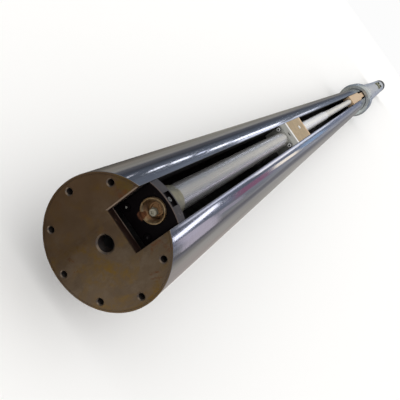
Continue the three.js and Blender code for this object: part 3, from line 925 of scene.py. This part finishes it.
def make_stage_gland():
    y0, y1, outer = extent("stage_gland")
    inner = radius("rod") + GAP
    groove = outer - 0.3 * MM
    profile = [(inner, y0, 0.2), (outer, y0, 0.2), (outer, y0 + 3 * MM), (groove, y0 + 3.4 * MM),
               (groove, y0 + 4.6 * MM), (outer, y0 + 5 * MM), (outer, y1, 0.4),
               (inner + 0.4 * MM, y1, 0.1), (inner, y1 - 0.5 * MM)]
    placed(turned("stage_end", profile, FINE, INNER), "stage_gland", BRIGHT)


def make_rod():
    rod = bar("rod_bar", radius("rod"), *ends("rod"), INNER, sides=FINE, eases=(0.6, 1))
    pin_r = radius("rod_pin") + GAP
    seat = hole(pin_r, INNER[1] - 0.02, INNER[1] + 0.02, middle("rod_pin").xy, True)
    placed(cut(rod, seat), "rod", ROD_CHROME)


def make_anchor():
    low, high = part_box("anchor_block")
    shoulder = FRONT + 2.37
    wide = prism("anchor", [(-high.x, low.z), (high.x, low.z), (high.x, 55.5 * MM), (15 * MM, high.z),
                            (-15 * MM, high.z), (-high.x, 55.5 * MM)], low.y, shoulder, 0.8 * MM)
    tongue = box("tongue", (-12 * MM, shoulder - 6 * MM, 34 * MM), (12 * MM, high.y, 55 * MM), 0.8 * MM)
    joined(wide, tongue)
    r = radius("rod") + GAP
    rod_end = ends("rod")[1] + GAP
    mouth = low.y - MM
    profile = [(0, mouth), (r + MM, mouth), (r, low.y + MM), (r, rod_end), (0, rod_end)]
    bore = turned("bore", profile, FINE, INNER)
    pin = hole(radius("rod_pin") + GAP, 24 * MM, TUBE_R, middle("rod_pin").xy, True)
    holes = [hole(SHANK_HOLE, 38 * MM, TUBE_R, middle(node).xy, True) for node in ANCHOR_SCREWS]
    placed(cut(wide, bore, pin, *holes), "anchor_block", PALE_TAN)


def make_rod_pin():
    low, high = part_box("rod_pin")
    at = middle("rod_pin").xy
    placed(bar("rod_pin_bar", radius("rod_pin"), low.z, high.z, at, True, eases=(0.5, 0.7)), "rod_pin", SATIN)


make_ring("middle_stage", "stage_tube", STAGE_BORE, TUBE_EASES, BRIGHT, FINE, INNER)
make_stage_gland()
make_rod()
make_anchor()
make_rod_pin()


# ---- gland ring ----
GUIDE_BORE = 61.2 * MM  # through the ring and the guide tube


def make_gland_ring():
    y0, y1, outer = extent("gland_ring")
    deep = 64.5 * MM
    bevel, sunk = outer - 8 * MM, outer - 3 * MM
    mark = (y0 + y1) / 2 + 30 * MM
    profile = [(GUIDE_BORE, y0, 0.6), (bevel, y0, 1), (outer, y0 + 8 * MM, 1), (outer, mark - 6 * MM, 0.5),
               (sunk, mark - 3 * MM, 0.5), (sunk, mark + 3 * MM, 0.5), (outer, mark + 6 * MM, 0.5),
               (outer, y1 - 8 * MM, 1), (bevel, y1, 1), (GUIDE_BORE, y1, 0.6)]
    for node in ("guide_bush_2", "guide_bush_1", "wiper_ring"):
        a, b = ends(node)
        profile += [(GUIDE_BORE, b + GAP), (deep, b + GAP), (deep, a - GAP), (GUIDE_BORE, a - GAP)]
    ring = turned("collar", profile, ROUND)
    tools = []
    for node in ANCHOR_SCREWS:
        head, mouth = radius(node) + GAP, radius(node) + 1.3 * MM
        seat, top = outer - 9 * MM, outer + 2 * MM
        profile = [(0, 50 * MM), (SHANK_HOLE, 50 * MM), (SHANK_HOLE, seat), (head, seat),
                   (head, outer - 0.9 * MM), (mouth, outer + 0.1 * MM), (mouth, top), (0, top)]
        tools.append(turned("hole", profile, SMALL, middle(node).xy, True))
    placed(cut(ring, *tools), "gland_ring", RING)


def make_anchor_screw(node):
    low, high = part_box(node)
    spot = middle(node).xy
    head, shank = radius(node), 4 * MM
    under = high.z - 7.7 * MM
    screw = turned(node + "_cap", [(0, low.z), (shank, low.z, 0.5), (shank, under, 0.2),
                                   (head, under, 0.2), (head, high.z, 0.8), (0, high.z)], 48, spot, True)
    placed(cut(screw, hexagon("key", 6 * MM, high.z - 4.6 * MM, high.z + MM, spot, True)), node, SCREW)


make_gland_ring()
for node in ANCHOR_SCREWS:
    make_anchor_screw(node)
for name, node, material in (("wiper", "wiper_ring", RUBBER), ("front_bush", "guide_bush_1", BRONZE),
                             ("rear_bush", "guide_bush_2", BRONZE)):
    make_ring(name, node, TUBE_R + GAP, (0.5, 0.4, 0.4, 0.5), material)


# ---- guide tube ----
GUIDE_R = radius("guide_tube")
SEAT_R = GUIDE_R + GAP  # bore of what sits on the guide tube
BOSS_PLUGS = ("boss_plug_1", "boss_plug_2")


def make_sleeve():
    y0, y1, outer = extent("head_sleeve")
    profile = [(SEAT_R, y0), (outer, y0, 0.8), (outer, y1 - 5 * MM, 1), (outer - 2 * MM, y1 - 3 * MM, 1),
               (SEAT_R, y1)]
    placed(turned("sleeve", profile, ROUND), "head_sleeve", PAINT)


def make_collar():
    y0, y1, outer = extent("end_collar")
    profile = [(SEAT_R, y0), (outer, y0 + MM, 0.8), (outer, y1, 0.4), (SEAT_R, y1)]
    placed(turned("end_band", profile, ROUND), "end_collar", CAP_STEEL)


def make_end_cap():
    y0, y1, outer = extent("end_cap")
    flat, straight, steps = 42 * MM, 60 * MM, 24
    profile = [(0, y0), (outer, y0, 0.5)]
    rise = y1 - y0 - straight
    for k in range(steps + 1):
        a = k / steps * math.pi / 2
        profile.append((flat + (outer - flat) * math.cos(a), y1 - rise + rise * math.sin(a)))
    profile.append((0, y1))
    placed(turned("domed_cap", profile, ROUND), "end_cap", CAP_STEEL)


def make_boss():
    low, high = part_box("port_boss")
    corner, top = 6 * MM, high.z
    outline = [(low.x, low.z), (high.x, low.z), (high.x, top - corner), (high.x - corner, top),
               (low.x + corner, top), (low.x, top - corner)]
    boss = prism("boss", outline, low.y, high.y, MM)
    seat = hole(SEAT_R, low.y - MM, high.y + MM, (0, 0), sides=ROUND)
    holes = [hole(9.3 * MM, top - 8 * MM, top + MM, middle(node).xy, True) for node in BOSS_PLUGS]
    placed(cut(boss, seat, *holes), "port_boss", YELLOW)


def make_boss_plug(node):
    """Short plug with a standing hexagon head; two of its corners lie along the tube."""
    low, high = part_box(node)
    at = middle(node)
    spot = at.xy
    under, across = 74.3 * MM, 2 * radius(node)
    head = hexagon(node + "_cap", across, under, high.z, spot, True)
    turn = Matrix.Translation(at) @ Matrix.Rotation(math.radians(30), 4, "Z") @ Matrix.Translation(-at)
    head.data.transform(turn)
    joined(head, bar("shank", 9 * MM, low.z, under + MM, spot, True, eases=(0.5, 0)))
    cut(head, hexagon("key", 8 * MM, high.z - 5 * MM, high.z + MM, spot, True))
    placed(softened(head, 0.5 * MM, 50), node, PLUG_OLIVE)


def make_nipple():
    low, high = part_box("grease_nipple")
    spot = middle("grease_nipple").xy
    base = hexagon("nipple", 10 * MM, low.z, low.z + 4.7 * MM, spot, True)
    foot = low.z + 4 * MM
    neck = turned("neck", [(0, foot), (3.2 * MM, foot), (3.2 * MM, low.z + 6.4 * MM, 0.4),
                           (2.1 * MM, low.z + 7.2 * MM, 0.3), (3.1 * MM, high.z - 1.2 * MM, 0.5),
                           (1.4 * MM, high.z, 0.4), (0, high.z)], SMALL, spot, True)
    placed(joined(base, neck), "grease_nipple", BRIGHT)


make_ring("guide_tube_skin", "guide_tube", GUIDE_BORE, (0.4, 0.4, 0, 0), PAINT)
make_sleeve()
make_collar()
make_end_cap()
make_boss()
for node in BOSS_PLUGS:
    make_boss_plug(node)
make_nipple()


# ---- pieces kept as the CAD made them ----
KEPT = {
    "tail_plug": GREY, "tail_guide_ring": NYLON, "barrel_wiper": RUBBER, "stage_piston": BRONZE,
    "stage_piston_seal": RUBBER, "rod_piston": BRONZE, "rod_piston_seal": RUBBER,
}
for node, material in KEPT.items():
    coated(frame["nodes"][node].data, material)


# ---- camera ----
EYE = Vector((0.375 * TUBE_R, FRONT - 6.172 * TUBE_R, 4.201 * TUBE_R))


def camera():
    """Close above the front face, looking down the tube, rolled so that the slot runs up the frame."""
    data = bpy.data.cameras.new("camera")
    data.sensor_width = 36
    data.lens = 48.76
    data.clip_start, data.clip_end = 0.01, 900
    eye = added("camera", data)
    right = Vector((0.5693, 0.3367, 0.7500)).normalized()
    back = Vector((0.0183, -0.9173, 0.3979))
    back = (back - right * back.dot(right)).normalized()
    up = back.cross(right)
    eye.matrix_world = Matrix.Translation(EYE) @ Matrix((right, up, back)).transposed().to_4x4()
    SCENE.camera = eye


# ---- floor and light ----
FLOOR_Z = cad_box[0].z
CARD_REACH = 7  # metres from the tube's axis


def stage_mesh(name, corners, faces, material, seen_by):
    """Floor, wall or card; seen_by lists the kinds of ray that meet it."""
    mesh = bpy.data.meshes.new(name)
    mesh.from_pydata(corners, [], faces)
    mesh.materials.append(material)
    piece = added(name, mesh)
    for ray in ("camera", "diffuse", "glossy", "transmission", "volume_scatter", "shadow"):
        setattr(piece, "visible_" + ray, ray in seen_by)


class Glow(Nodes):
    """Plain light-giving surface."""

    def __init__(self, name, colour, strength):
        super().__init__(name)
        self.tree.nodes.remove(self.tree.nodes["Principled BSDF"])
        self.shade = self.node("Emission", {"Color": linear(colour), "Strength": strength})
        self.link(self.shade.outputs["Emission"], self.tree.nodes["Material Output"].inputs["Surface"])

    def ramp(self, stops, source):
        """Colours by a ramp along source, a node output between 0 and 1."""
        ramp = self.node("ValToRGB")
        elements = ramp.color_ramp.elements
        elements[0].position, elements[0].color = stops[0]
        elements[1].position, elements[1].color = stops[-1]
        for position, colour in stops[1:-1]:
            elements.new(position).color = colour
        return self.fed(ramp, {"Fac": source}).outputs["Color"]

    def bands(self, table, source):
        """Ramp from a table of places and screen colours, over the table's own span."""
        start, end = table[0][0], table[-1][0]
        stops = [((place - start) / (end - start), linear(colour)) for place, colour in table]
        return self.ramp(stops, self.ranged(source, start, end))

    def mottled(self, colour, scale, amount):
        """Shows a colour with a soft cloud pattern over it."""
        cloud = self.ranged(self.noise(scale, 3, 0.5), 0.3, 0.7, 1 - amount, 1 + amount)
        self.fed(self.shade, {"Color": self.scaled(colour, cloud)})


MIRRORED_FLOOR = [
    (-1.5, (94, 93, 98)), (-0.74, (94, 93, 98)), (-0.58, (142, 137, 135)), (-0.40, (143, 138, 133)),
    (-0.26, (131, 126, 120)), (-0.19, (117, 112, 105)), (-0.15, (136, 131, 124)), (-0.12, (148, 142, 135)),
    (-0.05, (128, 121, 114)), (0.06, (255, 253, 250)), (0.082, (255, 252, 248)), (0.102, (154, 147, 143)),
    (0.30, (158, 152, 147)), (0.44, (158, 152, 148)), (0.60, (138, 133, 132)), (1.10, (132, 128, 132)),
    (1.5, (130, 127, 132)),
]
MIRRORED_HALL = [
    (-90, (76, 78, 86)), (-84, (86, 93, 105)), (-76, (102, 110, 124)), (-62, (116, 124, 138)),
    (-50, (132, 140, 154)), (-42, (160, 166, 176)), (-30, (206, 206, 206)), (0, (216, 215, 212)),
    (30, (210, 210, 212)), (38, (130, 133, 145)), (46, (121, 128, 146)), (62, (119, 127, 148)),
    (72, (144, 148, 162)), (84, (160, 163, 171)), (90, (136, 135, 139)),
]
FAR_TINTS = [
    (0.0, (1, 1, 1, 1)), (0.11, (1, 1, 1, 1)), (0.17, (0.95, 1.0, 1.0, 1)), (0.48, (0.92, 0.97, 1.0, 1)),
    (0.72, (0.66, 0.70, 0.74, 1)),
]


def floor():
    r = Recipe("floor_paint", (250, 249, 247), 0.8, 0.0, 0.0)
    r.bump(r.noise(40, 3), 0.05, 0.0002)
    reach = 300
    corners = [(x * reach, y * reach, FLOOR_Z) for x, y in ((-1, -1), (1, -1), (1, 1), (-1, 1))]
    stage_mesh("floor", corners, [(0, 1, 2, 3)], r.material, ("camera", "diffuse", "shadow"))

    # the floor that the polished metal mirrors: beige grey, white close along the right side,
    # darker on the left near the front face, bluer and darker far away
    g = Glow("mirrored_floor", (255, 255, 255), 1.3)
    across, depth = g.along(0), g.along(1)
    tinted = g.scaled(g.bands(MIRRORED_FLOOR, across), g.ramp(FAR_TINTS, g.ranged(depth, FRONT, FRONT + 4)))
    left = g.times(g.ranged(across, -0.24, -0.13), g.math("LESS_THAN", across, 0.0))
    near = g.ranged(depth, FRONT + 0.33, FRONT + 0.85, 0.25, 1)
    dark = g.node("Mix", {"Factor": left, "A": 1.0, "B": near}).outputs["Result"]
    g.mottled(g.scaled(tinted, dark), (7, 1.4, 1), 0.10)
    stage_mesh("mirrored_floor", corners, [(0, 1, 2, 3)], g.material, ("glossy",))


def hall():
    """Long half-round hall that only the polished metal sees: dark foot, blue-grey sides, pale roof."""
    g = Glow("mirrored_hall", (255, 255, 255), 1.0)
    angle = g.math("ARCTAN2", g.along(0), g.along(2))
    g.mottled(g.bands(MIRRORED_HALL, g.math("DEGREES", angle)), (1.2, 0.10, 1.2), 0.34)
    corners, faces = [], []
    steps = 48
    reach = 8.0
    near, far = -30.0, 260.0
    for k in range(steps + 1):
        a = math.pi * k / steps
        x, z = -reach * math.cos(a), FLOOR_Z + reach * math.sin(a)
        corners += [(x, near, z), (x, far, z)]
    for k in range(steps):
        faces.append((2 * k, 2 * k + 1, 2 * k + 3, 2 * k + 2))
    faces.append(tuple(range(0, 2 * steps + 2, 2)))
    faces.append(tuple(range(1, 2 * steps + 3, 2)))
    stage_mesh("mirrored_hall", corners, faces, g.material, ("glossy",))


def mirrored(along, degrees):
    """The place of a card that the camera sees mirrored in the chrome, here along it and round it."""
    a = math.radians(degrees)
    normal = Vector((math.sin(a), 0, math.cos(a)))
    start = normal * TUBE_R + Vector((0, FRONT + along * TUBE_R, 0))
    look = (start - EYE).normalized()
    ray = look - 2 * look.dot(normal) * normal
    return start + ray * (CARD_REACH / math.hypot(ray.x, ray.z))


def lamp(name, start, end, low, high, colour, strength, lean):
    """Card mirrored in the chrome between two places along it (in radii) and two angles."""
    corners = [mirrored(start, low), mirrored(end, low + lean), mirrored(end, high + lean),
               mirrored(start, high)]
    stage_mesh(name, corners, [(0, 1, 2, 3)], Glow(name, colour, strength).material, ("glossy",))


LAMPS = [
    ("lamp_a", 0.65, 1.15, -30.5, -29.0, (235, 240, 255), 3.2, 0.4),
    ("lamp_b", 1.4, 2.2, -30.0, -28.2, (235, 240, 255), 3.4, 0.8),
    ("lamp_c", 2.5, 2.95, -28.4, -27.2, (225, 232, 255), 2.6, 0.2),
    ("lamp_d", 3.15, 4.3, -27.6, -25.6, (235, 240, 255), 3.6, 0.6),
    ("lamp_e", 4.6, 9.2, -27.0, -24.6, (232, 238, 255), 3.4, 0.8),
    ("lamp_f", 11.5, 17.0, -25.4, -23.6, (232, 238, 255), 1.8, 0.3),
    ("lamp_0", 0.02, 0.16, -33.0, -31.6, (240, 240, 250), 1.8, 0.2),
    ("glare_a", 0.0, 1.9, 27.2, 30.4, (235, 238, 255), 3.0, -2.8),
    ("glare_b", 0.3, 24.0, 21.8, 23.2, (226, 230, 250), 1.35, 0.3),
    ("glare_c", 4.4, 9.6, 22.6, 24.8, (236, 236, 244), 1.8, 0.3),
    ("glare_d", 9.6, 17.0, 22.6, 24.8, (226, 234, 248), 1.4, 0.3),
    ("edge_a", 4.8, 9.6, -23.4, -21.6, (232, 238, 255), 1.6, 0.1),
    ("edge_b", 9.6, 16.5, -23.2, -21.6, (226, 232, 250), 1.0, 0.1),
    ("purple_a", 2.9, 5.6, 27.5, 33.5, (168, 120, 150), 0.8, 1.0),
    ("cream_a", 6.2, 9.4, 28.5, 33.0, (250, 240, 226), 1.5, 2.0),
    ("blue_a", 9.8, 15.0, 27.5, 34.0, (176, 206, 245), 0.7, 0.5),
    ("violet_a", 0.1, 1.6, 31.5, 46.0, (202, 196, 212), 1.2, 1.0),
    ("pale_a", 1.9, 3.4, 33.0, 36.5, (200, 196, 214), 0.8, 2.0),
]


def studio():
    for row in LAMPS:
        lamp(*row)
    world = bpy.data.worlds.new("studio")
    SCENE.world = world
    world.use_nodes = True
    shade = world.node_tree.nodes["Background"]
    shade.inputs["Color"].default_value = linear((252, 252, 252))
    shade.inputs["Strength"].default_value = 1.0
    world.cycles_visibility.glossy = False
    light = bpy.data.lights.new("key", "SUN")
    light.energy = 0.4
    light.angle = math.radians(60)
    sun = added("key", light)
    sun.rotation_euler = (math.radians(-25), math.radians(18), 0)
    sun.visible_glossy = False


floor()
hall()
studio()
camera()
SCENE.view_settings.view_transform = "Standard"
